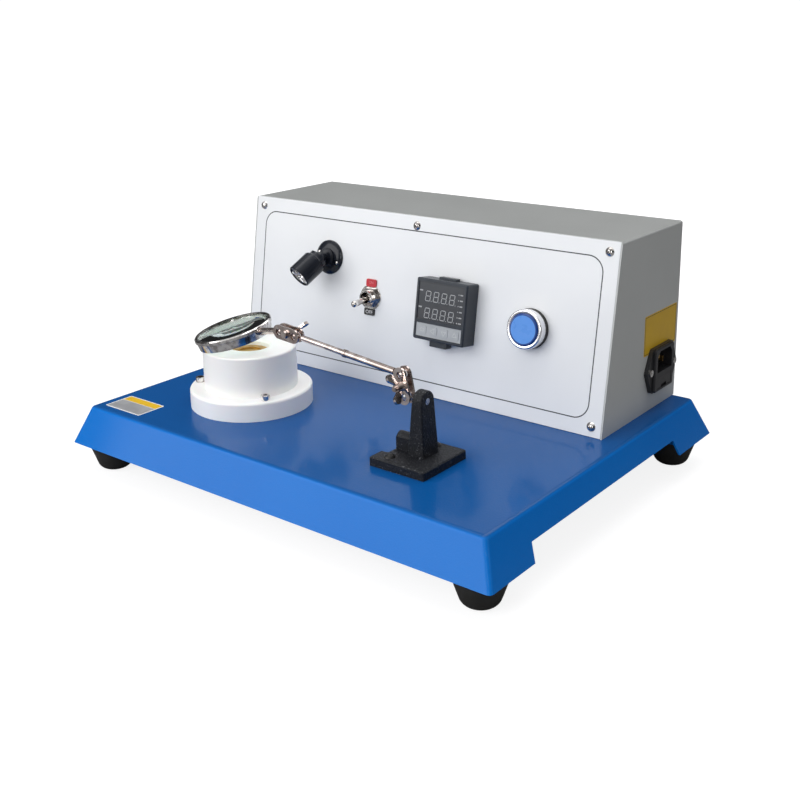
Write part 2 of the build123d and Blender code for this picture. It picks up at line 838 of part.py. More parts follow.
fuse_radius = 2.6
fuse_length = 20.0
with BuildPart() as fuse_drawer:
    with BuildSketch(inlet_plane.offset(inlet_out - 0.2)):
        with Locations((0, drawer_z)):
            Rectangle(drawer_width, drawer_height)
    extrude(amount=-drawer_depth)
    with BuildSketch(inlet_plane.offset(inlet_out - 3.2)):
        with Locations((0, drawer_z + 1.2)):
            Rectangle(fuse_length + 0.6, drawer_height - 2.4)
    extrude(amount=-drawer_depth + 6, mode=Mode.SUBTRACT)
    with BuildSketch(inlet_plane.offset(inlet_out)):
        with Locations((0, drawer_z - drawer_height / 2 + 1.2)):
            Rectangle(9.0, 2.6)
    extrude(amount=-1.6, mode=Mode.SUBTRACT)
save(fuse_drawer, "fuse_drawer")

fuse_floor = drawer_z + 1.2 - (drawer_height - 2.4) / 2
fuse_plane = Plane(
    origin=inlet_plane.from_local_coords(
        (-fuse_length / 2, fuse_floor + fuse_radius, inlet_out - 9.5)
    ),
    x_dir=(0, 0, 1),
    z_dir=(0, 1, 0),
)
with BuildPart() as fuse:
    with BuildSketch(fuse_plane):
        Circle(fuse_radius)
    extrude(amount=5)
    with BuildSketch(fuse_plane.offset(fuse_length - 5)):
        Circle(fuse_radius)
    extrude(amount=5)
    with BuildSketch(fuse_plane):
        Circle(fuse_radius - 0.3)
    extrude(amount=fuse_length)
save(fuse, "fuse")


def top_circle(piece, radius):
    """The highest circular edge of one radius."""
    circles = piece.edges().filter_by(GeomType.CIRCLE)
    return circles.filter_by(lambda edge: abs(edge.radius - radius) < 0.1).sort_by(Axis.Z)[-1]


# Heated stage: PTFE housing round a brass block with a heater and a sensor
stage_axis = Axis((stage_x, stage_y, 0), (0, 0, 1))
flange_top = base_top + stage_flange_height
housing_top = base_top + stage_height
block_bottom = base_top + block_seat
block_top = housing_top - well_depth
throat_radius = 12.0
with BuildPart() as stage_housing:
    with BuildSketch(upright(stage_x, stage_y)):
        with BuildLine():
            Polyline(
                (throat_radius, base_top),
                (stage_flange_radius, base_top),
                (stage_flange_radius, flange_top),
                (stage_radius, flange_top),
                (stage_radius, housing_top),
                (stage_rim, housing_top),
                (stage_bore, housing_top - 2.0),
                (stage_bore, block_bottom),
                (throat_radius, block_bottom),
                close=True,
            )
        make_face()
    revolve(axis=stage_axis)
    fillet(top_circle(stage_housing, stage_flange_radius), radius=2.0)
    fillet(top_circle(stage_housing, stage_radius), radius=1.6)
    with BuildSketch(Plane.XY.offset(base_top)):
        with Locations(*stage_screw_places):
            Circle(metric_four + clearance)
    extrude(amount=stage_flange_height, mode=Mode.SUBTRACT)
save(stage_housing, "stage_housing")

heater_offset = -6.0
heater_radius = 4.0
sensor_offset = 5.5
sensor_radius = 2.0
heater_top = block_top - 6.0
sensor_top = block_top - 4.0
with BuildPart() as heating_block:
    with BuildSketch(Plane.XY.offset(block_bottom)):
        with Locations((stage_x, stage_y)):
            Circle(stage_bore - 0.15)
    extrude(amount=block_top - block_bottom)
    chamfer(heating_block.faces().sort_by(Axis.Z)[-1].edges(), 0.5)
    with BuildSketch(Plane.XY.offset(block_top)):
        with Locations((stage_x, stage_y)):
            Circle(9.5)
    extrude(amount=-1.0, mode=Mode.SUBTRACT)
    with BuildSketch(Plane.XY.offset(block_top)):
        with Locations((stage_x + 10.0, stage_y + 6.5)):
            Circle(1.6)
    extrude(amount=-12.0, mode=Mode.SUBTRACT)
    with BuildSketch(Plane.XY.offset(block_bottom)):
        with Locations((stage_x + heater_offset, stage_y)):
            Circle(heater_radius + 0.05)
    extrude(amount=heater_top - block_bottom, mode=Mode.SUBTRACT)
    with BuildSketch(Plane.XY.offset(block_bottom)):
        with Locations((stage_x + sensor_offset, stage_y)):
            Circle(sensor_radius + 0.05)
    extrude(amount=sensor_top - block_bottom, mode=Mode.SUBTRACT)
save(heating_block, "heating_block")

with BuildPart() as heater_cartridge:
    with BuildSketch(Plane.XY.offset(heater_top)):
        with Locations((stage_x + heater_offset, stage_y)):
            Circle(heater_radius)
    extrude(amount=-(heater_top - base_top + 2.0))
save(heater_cartridge, "heater_cartridge")

with BuildPart() as sensor_probe:
    with BuildSketch(Plane.XY.offset(sensor_top)):
        with Locations((stage_x + sensor_offset, stage_y)):
            Circle(sensor_radius)
    extrude(amount=-(sensor_top - base_top + 2.0))
save(sensor_probe, "sensor_probe")

with BuildPart() as stage_screws:
    for x, y in stage_screw_places:
        screw_length = stage_flange_height + tray_sheet + nut_height + 1.0
        add(cap_screw(Plane(origin=(x, y, flange_top)), metric_four, 3.5, 4.0, screw_length))
save(stage_screws, "stage_screws")

# Cast bracket: an L-shaped foot and a tapered post with a rounded top
foot_plate_height = 6.4
plate_left = 65.0
plate_right = 111.5
plate_front = -105.2
plate_back = -56.4
tongue_back = -91.5
tongue_right = 70.5
post_left = 85.0
post_right = 98.5
post_front = -88.4
post_back = -70.4
post_top_radius = 7.4
post_taper_left = 4.2
post_taper_right = 1.9
stud_end_x = 96.7
stud_radius = 2.4
stud_y = stud_ball[1]
stud_z = stud_ball[2]
bracket_top = base_top + foot_plate_height
with BuildPart() as bracket:
    with BuildSketch(Plane.XY.offset(base_top)):
        with BuildLine():
            Polyline(
                (plate_left, plate_front),
                (plate_right, plate_front),
                (plate_right, plate_back),
                (tongue_right, plate_back),
                (tongue_right, tongue_back),
                (plate_left, tongue_back),
                close=True,
            )
        make_face()
        fillet(vertices(), radius=1.5)
    extrude(amount=foot_plate_height)
    chamfer(bracket.faces().sort_by(Axis.Z)[-1].edges(), 0.8)
    with BuildSketch(Plane.YZ.offset(post_left)):
        with BuildLine():
            Polyline(
                (post_front, bracket_top - 1),
                (post_back, bracket_top - 1),
                (post_back, bracket_top),
                (stud_y + post_top_radius, stud_z),
            )
            ThreePointArc(
                (stud_y + post_top_radius, stud_z),
                (stud_y, stud_z + post_top_radius),
                (stud_y - post_top_radius, stud_z),
            )
            Polyline(
                (stud_y - post_top_radius, stud_z),
                (post_front, bracket_top),
                (post_front, bracket_top - 1),
            )
        make_face()
    extrude(amount=post_right - post_left)
    with BuildSketch(Plane.XZ.offset(-post_back - 1)):
        with BuildLine():
            Polyline(
                (post_left - 1, bracket_top),
                (post_left, bracket_top),
                (post_left + post_taper_left, stud_z + post_top_radius + 1),
                (post_left - 1, stud_z + post_top_radius + 1),
                close=True,
            )
        make_face()
        with BuildLine():
            Polyline(
                (post_right + 1, bracket_top),
                (post_right, bracket_top),
                (post_right - post_taper_right, stud_z + post_top_radius + 1),
                (post_right + 1, stud_z + post_top_radius + 1),
                close=True,
            )
        make_face()
    extrude(amount=post_back - post_front + 2, mode=Mode.SUBTRACT)
    post_edges = bracket.edges().filter_by_position(Axis.Z, bracket_top + 1, stud_z + 20)
    fillet(post_edges, radius=1.2)
    with BuildSketch(Plane.YZ.offset(post_left + 1)):
        with Locations((-78.5, bracket_top + 4.0)):
            Rectangle(10, 10)
            with Locations((0, 3.0)):
                Circle(5)
    extrude(amount=-14.5)
    with BuildSketch(Plane.YZ.offset(post_left)):
        with Locations((stud_y, stud_z)):
            Circle(stud_radius + 0.05)
    extrude(amount=post_right - post_left, mode=Mode.SUBTRACT)
    with BuildSketch(Plane.XY.offset(base_top)):
        with Locations(*bracket_screw_places):
            Circle(metric_four + clearance)
    extrude(amount=foot_plate_height, mode=Mode.SUBTRACT)
save(bracket, "bracket")

with BuildPart() as bracket_screws:
    for x, y in bracket_screw_places:
        screw_length = foot_plate_height + tray_sheet + nut_height + 1.0
        add(pan_screw(Plane(origin=(x, y, bracket_top)), metric_four, 3.9, 2.6, screw_length))
save(bracket_screws, "bracket_screws")

# The arm's upright plane, with its normal towards the front
yaw = radians(arm_yaw)
arm_plane = Plane(origin=stud_ball, x_dir=(cos(yaw), -sin(yaw), 0), z_dir=(-sin(yaw), -cos(yaw), 0))


def on_arm(place):
    """A point of the arm's plane."""
    return arm_plane.from_local_coords((place[0], place[1], 0))


# Pivot stud: it turns in the post and ends in the lowest ball
stud_plane = Plane(origin=(stud_end_x, stud_y, stud_z), x_dir=(0, 0, 1), z_dir=(-1, 0, 0))
stud_reach = stud_end_x - stud_ball[0]
neck_meets_ball = (ball_radius**2 - neck_radius**2) ** 0.5
stud_shoulder = stud_end_x - post_left - post_taper_left
with BuildPart() as pivot_stud:
    with BuildSketch(turned_plane(stud_plane)):
        with BuildLine():
            Polyline(
                (0, stud_reach + ball_radius),
                (0, 0),
                (stud_radius, 0),
                (stud_radius, stud_shoulder),
                (neck_radius, stud_shoulder),
                (neck_radius, stud_reach - neck_meets_ball),
            )
            ThreePointArc(
                (neck_radius, stud_reach - neck_meets_ball),
                (ball_radius, stud_reach),
                (0, stud_reach + ball_radius),
            )
        make_face()
    revolve(axis=Axis(stud_plane.origin, stud_plane.z_dir))
save(pivot_stud, "pivot_stud")

# Clamps: two plates squeezed on two balls by a screw and a wing nut
plate_gap = 4.0
clamp_sheet = 1.4
clamp_end_radius = 5.4
ball_hole = 2.6
clamp_screw_radius = 1.7
wing_hub_radius = 3.4
wing_hub_height = 5.4
wing_reach = 7.6
wing_rise = 7.7
wing_tip_radius = 2.9
wing_sheet = 2.2


def clamp_plane(first, second, side=1):
    """The plane midway between two balls, with X towards the second and Z to the nut."""
    start = on_arm(first)
    end = on_arm(second)
    return Plane(origin=(start + end) / 2, x_dir=end - start, z_dir=arm_plane.z_dir * side)


def clamp_plates(place, reach):
    """Two slotted plates, one on each side of the balls."""
    with BuildPart() as plates:
        for side in (-1, 1):
            with BuildSketch(place.offset(side * plate_gap / 2)):
                SlotCenterToCenter(reach, 2 * clamp_end_radius)
                with GridLocations(reach, 0, 2, 1):
                    Circle(ball_hole, mode=Mode.SUBTRACT)
                Circle(clamp_screw_radius + 0.05, mode=Mode.SUBTRACT)
            extrude(amount=side * clamp_sheet)
    return plates


def clamp_screw(place):
    """A round-headed screw through both plates, with its head on the side without the nut."""
    outer_face = plate_gap / 2 + clamp_sheet
    with BuildPart() as screw:
        with BuildSketch(place.offset(-outer_face)):
            Circle(clamp_screw_radius)
        extrude(amount=2 * outer_face + wing_hub_height + 2.4)
        with BuildSketch(place.offset(-outer_face)):
            Circle(3.2)
        extrude(amount=-2.2, taper=12)
    return screw


def wing_nut(place, turn):
    """A wing nut on one plate, its wings turned about the screw."""
    seat = place.offset(plate_gap / 2 + clamp_sheet + 0.1)
    across = seat.x_dir.rotate(Axis((0, 0, 0), seat.z_dir), turn)
    hub = Plane(origin=seat.origin, x_dir=across, z_dir=seat.z_dir)
    with BuildPart() as nut:
        with BuildSketch(hub):
            Circle(wing_hub_radius)
        extrude(amount=wing_hub_height, taper=6)
        with BuildSketch(turned_plane(hub)):
            for side in (-1, 1):
                with BuildLine():
                    Polyline(
                        (0, 0.6),
                        (side * wing_reach, wing_rise - wing_tip_radius),
                        (side * (wing_reach - 2.0), wing_rise + 2.0),
                        (side * 2.0, wing_hub_height - 0.6),
                        (0, wing_hub_height - 0.6),
                        close=True,
                    )
                make_face()
                with Locations((side * wing_reach, wing_rise)):
                    Circle(wing_tip_radius)
        extrude(amount=wing_sheet / 2, both=True)
        with BuildSketch(hub):
            Circle(clamp_screw_radius + 0.05)
        extrude(amount=wing_rise + wing_tip_radius, mode=Mode.SUBTRACT)
    return nut


def ball_gap(first, second):
    """The distance between two balls."""
    return (on_arm(second) - on_arm(first)).length


lower_clamp = clamp_plane((0, 0), lower_rod_ball)
lower_reach = ball_gap((0, 0), lower_rod_ball)
lower_clamp_plates = clamp_plates(lower_clamp, lower_reach)
save(lower_clamp_plates, "lower_clamp_plates")

lower_clamp_screw = clamp_screw(lower_clamp)
save(lower_clamp_screw, "lower_clamp_screw")

lower_wing_turn = 12.0
lower_wing_nut = wing_nut(lower_clamp, lower_wing_turn)
save(lower_wing_nut, "lower_wing_nut")

upper_clamp = clamp_plane(lens_rod_ball, upper_rod_ball, -1)
upper_reach = ball_gap(lens_rod_ball, upper_rod_ball)
upper_clamp_plates = clamp_plates(upper_clamp, upper_reach)
save(upper_clamp_plates, "upper_clamp_plates")

upper_clamp_screw = clamp_screw(upper_clamp)
save(upper_clamp_screw, "upper_clamp_screw")

upper_wing_turn = -46.0
upper_wing_nut = wing_nut(upper_clamp, upper_wing_turn)
save(upper_wing_nut, "upper_wing_nut")

# Arm rod: thick half, collar, thinner half, and a ball at each end
rod_collar_at = 53.5
rod_collar_length = 2.4
thin_rod_radius = 2.2
rod_start = on_arm(lower_rod_ball)
rod_vector = on_arm(upper_rod_ball) - rod_start
rod_plane = Plane(origin=rod_start, x_dir=arm_plane.z_dir, z_dir=rod_vector)
rod_length = rod_vector.length
collar_start = rod_collar_at - rod_collar_length / 2
collar_end = rod_collar_at + rod_collar_length / 2
with BuildPart() as arm_rod:
    with BuildSketch(turned_plane(rod_plane)):
        with BuildLine():
            ThreePointArc((0, -ball_radius), (ball_radius, 0), (neck_radius, neck_meets_ball))
            Polyline(
                (neck_radius, neck_meets_ball),
                (neck_radius, neck_length),
                (rod_radius, neck_length),
                (rod_radius, collar_start),
                (rod_radius + 0.4, collar_start),
                (rod_radius + 0.4, collar_end),
                (thin_rod_radius, collar_end),
                (thin_rod_radius, rod_length - neck_length),
                (neck_radius, rod_length - neck_length),
                (neck_radius, rod_length - neck_meets_ball),
            )
            ThreePointArc(
                (neck_radius, rod_length - neck_meets_ball),
                (ball_radius, rod_length),
                (0, rod_length + ball_radius),
            )
            Line((0, rod_length + ball_radius), (0, -ball_radius))
        make_face()
    revolve(axis=Axis(rod_plane.origin, rod_plane.z_dir))
save(arm_rod, "arm_rod")

# Magnifier: chrome ring, biconvex glass and the rod to its ball
lens_middle = on_arm(lens_centre)
lens_reach = on_arm(lens_rod_ball) - lens_middle
lens_out = lens_reach.normalized()
lens_up = lens_out.cross(arm_plane.z_dir) * -1
roll = radians(lens_roll)
lens_normal = lens_up * cos(roll) + arm_plane.z_dir * sin(roll)
lens_plane = Plane(origin=lens_middle, x_dir=lens_out, z_dir=lens_normal)
ring_top = 3.4
ring_bottom = -6.0
ring_lip = 0.4
ring_step = 0.9
ring_wall = 1.8
glass_radius = lens_radius - ring_wall
glass_edge = 2.4
glass_crown = 2.8
with BuildPart() as lens_ring:
    with BuildSketch(turned_plane(lens_plane)):
        with BuildLine():
            Polyline(
                (lens_radius, ring_lip),
                (lens_radius, ring_top - 0.8),
                (lens_radius - 0.8, ring_top),
                (lens_radius - 2.6, ring_top),
                (lens_radius - 2.6, ring_top - 0.8),
                (glass_radius, glass_edge / 2 + 0.4),
                (glass_radius, -glass_edge / 2),
                (lens_radius - 2.6, -glass_edge / 2 - 0.8),
                (lens_radius - 3.0, ring_bottom),
                (lens_radius - ring_step - 0.8, ring_bottom),
                (lens_radius - ring_step, ring_lip - 0.4),
                close=True,
            )
        make_face()
    revolve(axis=Axis(lens_plane.origin, lens_plane.z_dir))
save(lens_ring, "lens_ring")

with BuildPart() as lens_glass:
    with BuildSketch(turned_plane(lens_plane)):
        with BuildLine():
            TangentArc(
                (0, -glass_edge / 2 - glass_crown + 0.9),
                (glass_radius - 2.0, -glass_edge / 2),
                tangent=(1, 0),
            )
            Polyline(
                (glass_radius - 2.0, -glass_edge / 2),
                (glass_radius, -glass_edge / 2),
                (glass_radius, glass_edge / 2),
                (glass_radius - 2.0, glass_edge / 2),
            )
            TangentArc(
                (0, glass_edge / 2 + glass_crown),
                (glass_radius - 2.0, glass_edge / 2),
                tangent=(1, 0),
            )
            Line(
                (0, glass_edge / 2 + glass_crown),
                (0, -glass_edge / 2 - glass_crown + 0.9),
            )
        make_face()
    revolve(axis=Axis(lens_plane.origin, lens_plane.z_dir))
save(lens_glass, "lens_glass")

lens_rod_gap = 0.05
lens_rod_length = lens_reach.length - lens_radius - lens_rod_gap
lens_rod_plane = Plane(
    origin=lens_middle + lens_out * (lens_radius + lens_rod_gap),
    x_dir=lens_normal,
    z_dir=lens_out,
)
with BuildPart() as lens_rod:
    with BuildSketch(turned_plane(lens_rod_plane)):
        with BuildLine():
            Polyline(
                (0, 0),
                (rod_radius + 0.9, 0),
                (rod_radius + 0.9, rod_collar_length),
                (rod_radius, rod_collar_length),
                (rod_radius, lens_rod_length - neck_length),
                (neck_radius, lens_rod_length - neck_length),
                (neck_radius, lens_rod_length - neck_meets_ball),
            )
            ThreePointArc(
                (neck_radius, lens_rod_length - neck_meets_ball),
                (ball_radius, lens_rod_length),
                (0, lens_rod_length + ball_radius),
            )
            Line((0, lens_rod_length + ball_radius), (0, 0))
        make_face()
    revolve(axis=Axis(lens_rod_plane.origin, lens_rod_plane.z_dir))
save(lens_rod, "lens_rod")

# What the closed cabinet holds, standing on the base
relay_place = (-48.0, 95.0)
with BuildPart() as solid_state_relay:
    with BuildSketch(Plane.XY.offset(base_top)):
        with Locations(relay_place):
            Rectangle(60, 45)
    extrude(amount=3)
    with BuildSketch(Plane.XY.offset(base_top + 3)):
        with Locations(relay_place):
            Rectangle(44, 44)
    extrude(amount=22)
save(solid_state_relay, "solid_state_relay")

supply_place = (-135.0, 95.0)
with BuildPart() as lamp_supply:
    with BuildSketch(Plane.XY.offset(base_top)):
        with Locations(supply_place):
            Rectangle(50, 70)
    extrude(amount=30)
    fillet(lamp_supply.edges().filter_by(Axis.Z), radius=2)
save(lamp_supply, "lamp_supply")

terminal_place = (95.0, 110.0)
with BuildPart() as terminal_block:
    with BuildSketch(Plane.XY.offset(base_top)):
        with Locations(terminal_place):
            Rectangle(70, 22)
    extrude(amount=8)
    with BuildSketch(Plane.XY.offset(base_top + 8)):
        with Locations(terminal_place):
            with GridLocations(10, 0, 7, 1):
                Rectangle(1.5, 22)
            Rectangle(70, 3)
    extrude(amount=8)
save(terminal_block, "terminal_block")
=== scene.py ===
import math

import bpy
from mathutils import Matrix, Vector


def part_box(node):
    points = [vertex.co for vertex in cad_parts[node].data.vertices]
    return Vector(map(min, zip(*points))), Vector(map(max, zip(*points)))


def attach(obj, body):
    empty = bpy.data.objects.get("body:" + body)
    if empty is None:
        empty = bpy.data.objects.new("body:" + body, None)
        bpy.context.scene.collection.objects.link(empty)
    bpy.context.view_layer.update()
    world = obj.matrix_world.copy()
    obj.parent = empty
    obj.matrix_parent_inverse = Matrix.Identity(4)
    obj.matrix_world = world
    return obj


# Looks of the melting point apparatus. Metres, in the frame of the CAD model.
MM = 0.001

# Places on the model: (u, v) on the front panel or (y, z) on the right wall, in millimetres
LEAN = math.radians(8.7)
PANEL_FOOT = (-0.00805, 0.0263, 0.0523)
BASE_TOP = 0.0523
CABINET_RIGHT = 0.1703
CABINET_BACK = 0.1449
SCREW_U = 169.0
SCREW_V = (7.6, 133.4)
CONTROLLER = (39.3, 71.7)
SWITCH = (-40.9, 70.3)
LAMP = (-88.4, 97.5)
LAMP_BALL_OUT = 14.0
LAMP_AIM = Vector((-0.21, -0.81, -0.54)).normalized()
BUTTON = (112.0, 69.7, 11.2)
INLET = (114.5, 84.0)
INLET_SCREW_SPACING = 40.0
WINDOW_OUT = 14.3
KEY_OUT = 14.75

# Thicknesses of what lies on the surfaces
PRINT = 0.03
STICKER = 0.12

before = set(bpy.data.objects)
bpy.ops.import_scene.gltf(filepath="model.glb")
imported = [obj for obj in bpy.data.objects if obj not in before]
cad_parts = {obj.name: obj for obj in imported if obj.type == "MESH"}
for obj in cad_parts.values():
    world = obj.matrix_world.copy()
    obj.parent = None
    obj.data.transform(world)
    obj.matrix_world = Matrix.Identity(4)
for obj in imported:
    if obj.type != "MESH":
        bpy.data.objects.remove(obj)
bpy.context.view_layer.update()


# Planes: origin, direction to the right, direction upwards, direction outwards
def panel_plane(u, v, out=0.0):
    """A place on the leaning front panel, in millimetres from the middle of its foot."""
    up = Vector((0.0, math.sin(LEAN), math.cos(LEAN)))
    outwards = Vector((0.0, -math.cos(LEAN), math.sin(LEAN)))
    origin = Vector(PANEL_FOOT) + MM * (u * Vector((1, 0, 0)) + v * up + out * outwards)
    return origin, Vector((1, 0, 0)), up, outwards


def wall_plane(y, z, out=0.0):
    """A place on the cabinet's right wall, in millimetres."""
    origin = Vector((CABINET_RIGHT + out * MM, y * MM, z * MM))
    return origin, Vector((0, 1, 0)), Vector((0, 0, 1)), Vector((1, 0, 0))


def top_plane(x, y, out=0.0):
    """A place on the base's top, in millimetres."""
    origin = Vector((x * MM, y * MM, BASE_TOP + out * MM))
    return origin, Vector((1, 0, 0)), Vector((0, 1, 0)), Vector((0, 0, 1))


def lift(plane, u, v, w):
    """A point of a plane, from millimetres."""
    origin, right, up, out = plane
    return origin + MM * (u * right + v * up + w * out)


# Outlines in millimetres
def rounded(width, height, radius, middle=(0.0, 0.0), steps=6):
    points = []
    for turn, (sx, sy) in enumerate(((1, 1), (-1, 1), (-1, -1), (1, -1))):
        cx = middle[0] + sx * (width / 2 - radius)
        cy = middle[1] + sy * (height / 2 - radius)
        for step in range(steps + 1):
            angle = math.pi / 2 * (turn + step / steps)
            points.append((cx + radius * math.cos(angle), cy + radius * math.sin(angle)))
    return points


def moved(outline, du, dv, slant=0.0):
    return [(u + du + slant * v, v + dv) for u, v in outline]


def piece(name, points, faces, material, body, smooth=False):
    """Makes a mesh piece that moves with a body."""
    mesh = bpy.data.meshes.new(name)
    mesh.from_pydata([tuple(p) for p in points], [], faces)
    mesh.validate()
    mesh.update()
    mesh.materials.append(material)
    for polygon in mesh.polygons:
        polygon.use_smooth = smooth
    thing = bpy.data.objects.new(name, mesh)
    bpy.context.scene.collection.objects.link(thing)
    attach(thing, body)
    return thing


def prisms(name, parts, material, body="base"):
    """Thin prisms: each part is a plane, an outline and its lower and upper height."""
    points, faces = [], []
    for plane, outline, low, high in parts:
        start = len(points)
        count = len(outline)
        points += [lift(plane, u, v, low) for u, v in outline]
        points += [lift(plane, u, v, high) for u, v in outline]
        faces.append([start + count + k for k in range(count)])
        faces.append([start + k for k in reversed(range(count))])
        for k in range(count):
            after = (k + 1) % count
            faces.append([start + k, start + after, start + count + after, start + count + k])
    return piece(name, points, faces, material, body)


def band(name, plane, outer, inner, low, high, material, body="base"):
    """A closed band between two outlines with the same number of points."""
    count = len(outer)
    points = []
    for outline, height in ((outer, high), (inner, high), (inner, low), (outer, low)):
        points += [lift(plane, u, v, height) for u, v in outline]
    faces = []
    for ring in range(4):
        for k in range(count):
            after = (k + 1) % count
            here, there = ring * count, (ring + 1) % 4 * count
            faces.append([here + k, here + after, there + after, there + k])
    return piece(name, points, faces, material, body)


def crosses(name, heads, size, material, body="base"):
    """Cross slots on domed screw heads: each head is a plane, a radius, a height and a turn."""
    points, faces = [], []
    steps = 6
    for plane, head_radius, head_height, turn in heads:
        dome = (head_radius**2 + head_height**2) / (2 * head_height)
        for quarter in (0, 1):
            angle = turn + quarter * math.pi / 2
            along = (math.cos(angle), math.sin(angle))
            start = len(points)
            for step in range(steps + 1):
                at = size * (2 * step / steps - 1)
                half_width = 0.15 * size * (1.25 - 0.5 * abs(at) / size)
                for side in (-1, 1):
                    u = at * along[0] - side * half_width * along[1]
                    v = at * along[1] + side * half_width * along[0]
                    height = math.sqrt(dome**2 - u * u - v * v) - dome + head_height
                    points.append(lift(plane, u, v, height + PRINT))
            for step in range(steps):
                a = start + 2 * step
                faces.append([a, a + 2, a + 3, a + 1])
    return piece(name, points, faces, material, body)


def lettering(name, words, plane, size, material, body="base"):
    """Flat raised letters centred on a plane."""
    curve = bpy.data.curves.new(name, "FONT")
    curve.body = words
    curve.size = size * MM
    curve.extrude = 0.00004
    curve.align_x = "CENTER"
    curve.align_y = "CENTER"
    holder = bpy.data.objects.new(name + "_curve", curve)
    bpy.context.scene.collection.objects.link(holder)
    bpy.context.view_layer.update()
    mesh = bpy.data.meshes.new_from_object(holder)
    bpy.data.objects.remove(holder)
    origin, right, up, out = plane
    turn = Matrix((right, up, out)).transposed().to_4x4()
    mesh.transform(Matrix.Translation(origin) @ turn)
    mesh.materials.clear()
    mesh.materials.append(material)
    mesh.name = name
    thing = bpy.data.objects.new(name, mesh)
    bpy.context.scene.collection.objects.link(thing)
    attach(thing, body)
    return thing


# Materials
def shade(
    name,
    colour,
    other,
    grain,
    roughness,
    bump=(800.0, 0.08, 0.0002),
    metallic=0.0,
    detail=3.0,
    spread=(0.3, 0.7),
    **sockets,
):
    """A painted, plated or moulded finish: cloudy colour and gloss with fine relief.

    The colour clouds into the other one over the spread. The bump is a scale, a strength and
    a depth in metres. Further names set the shader's own sockets.
    """
    material = bpy.data.materials.new(name)
    material.use_nodes = True
    tree = material.node_tree
    add = tree.nodes.new
    link = tree.links.new
    surface = tree.nodes["Principled BSDF"]
    coordinates = add("ShaderNodeTexCoord")
    cloud = add("ShaderNodeTexNoise")
    cloud.inputs["Scale"].default_value = grain
    cloud.inputs["Detail"].default_value = detail
    link(coordinates.outputs["Object"], cloud.inputs["Vector"])
    ramp = add("ShaderNodeValToRGB")
    ramp.color_ramp.interpolation = "EASE"
    ramp.color_ramp.elements[0].position = spread[0]
    ramp.color_ramp.elements[0].color = (*other, 1.0)
    ramp.color_ramp.elements[1].position = spread[1]
    ramp.color_ramp.elements[1].color = (*colour, 1.0)
    link(cloud.outputs["Fac"], ramp.inputs["Fac"])
    link(ramp.outputs["Color"], surface.inputs["Base Color"])
    gloss = add("ShaderNodeMapRange")
    gloss.inputs["To Min"].default_value = roughness[0]
    gloss.inputs["To Max"].default_value = roughness[1]
    link(cloud.outputs["Fac"], gloss.inputs["Value"])
    link(gloss.outputs["Result"], surface.inputs["Roughness"])
    relief = add("ShaderNodeTexNoise")
    relief.inputs["Scale"].default_value = bump[0]
    relief.inputs["Detail"].default_value = 2.0
    link(coordinates.outputs["Object"], relief.inputs["Vector"])
    height = add("ShaderNodeBump")
    height.inputs["Strength"].default_value = bump[1]
    height.inputs["Distance"].default_value = bump[2]
    link(relief.outputs["Fac"], height.inputs["Height"])
    link(height.outputs["Normal"], surface.inputs["Normal"])
    surface.inputs["Metallic"].default_value = metallic
    for socket, value in sockets.items():
        surface.inputs[socket.replace("_", " ")].default_value = value
    return material


def paint_shade_on_tops(material, top_shade_factor):
    """Paints shade into the paint where it faces up: darker tops, to match the tops in the
    photo.
    """
    tree = material.node_tree
    base = tree.nodes["Principled BSDF"].inputs["Base Color"]
    paint = base.links[0].from_socket
    coordinates = tree.nodes.new("ShaderNodeTexCoord")
    split = tree.nodes.new("ShaderNodeSeparateXYZ")
    tree.links.new(coordinates.outputs["Normal"], split.inputs["Vector"])
    # painted shade: the colour is scaled down as the surface turns to face up
    depth = tree.nodes.new("ShaderNodeMapRange")
    depth.interpolation_type = "SMOOTHSTEP"
    depth.inputs["From Min"].default_value = 0.60
    depth.inputs["From Max"].default_value = 0.98
    depth.inputs["To Min"].default_value = 1.0
    depth.inputs["To Max"].default_value = top_shade_factor
    tree.links.new(split.outputs["Z"], depth.inputs["Value"])
    scale = tree.nodes.new("ShaderNodeVectorMath")
    scale.operation = "SCALE"
    tree.links.new(paint, scale.inputs["Vector"])
    tree.links.new(depth.outputs["Result"], scale.inputs["Scale"])
    tree.links.new(scale.outputs["Vector"], base)


def clear_shadows(material, tint):
    """Lets light through a clear piece, so that it doesn't shade what lies behind it."""
    tree = material.node_tree
    surface = tree.nodes["Principled BSDF"]
    output = tree.nodes["Material Output"]
    path = tree.nodes.new("ShaderNodeLightPath")
    through = tree.nodes.new("ShaderNodeBsdfTransparent")
    through.inputs["Color"].default_value = (*tint, 1.0)
    mix = tree.nodes.new("ShaderNodeMixShader")
    tree.links.new(path.outputs["Is Shadow Ray"], mix.inputs["Fac"])
    tree.links.new(surface.outputs["BSDF"], mix.inputs[1])
    tree.links.new(through.outputs["BSDF"], mix.inputs[2])
    tree.links.new(mix.outputs["Shader"], output.inputs["Surface"])


blue_paint = shade(
    "blue_paint", (0.003, 0.170, 0.61), (0.002, 0.152, 0.565), grain=9.0,
    roughness=(0.27, 0.33), bump=(1000.0, 0.3, 0.0003), spread=(0.1, 0.9),
    Specular_IOR_Level=0.06, Coat_Weight=0.3, Coat_Roughness=0.1,
)
# Painted shade: the blue paint is darker where it faces up
paint_shade_on_tops(blue_paint, 0.47)
grey_paint = shade(
    "grey_paint", (0.53, 0.545, 0.537), (0.51, 0.525, 0.517), grain=22.0,
    roughness=(0.42, 0.5), bump=(900.0, 0.14, 0.0003),
)
# Painted shade: the grey paint is darker where it faces up
paint_shade_on_tops(grey_paint, 0.62)
white_panel = shade(
    "white_panel", (0.86, 0.875, 0.895), (0.835, 0.85, 0.87), grain=14.0,
    roughness=(0.2, 0.27), bump=(260.0, 0.03, 0.0003),
    Coat_Weight=0.25, Coat_Roughness=0.12,
)
rubber = shade(
    "rubber", (0.018, 0.017, 0.016), (0.012, 0.012, 0.011), grain=120.0,
    roughness=(0.5, 0.64), bump=(1400.0, 0.25, 0.0002),
)
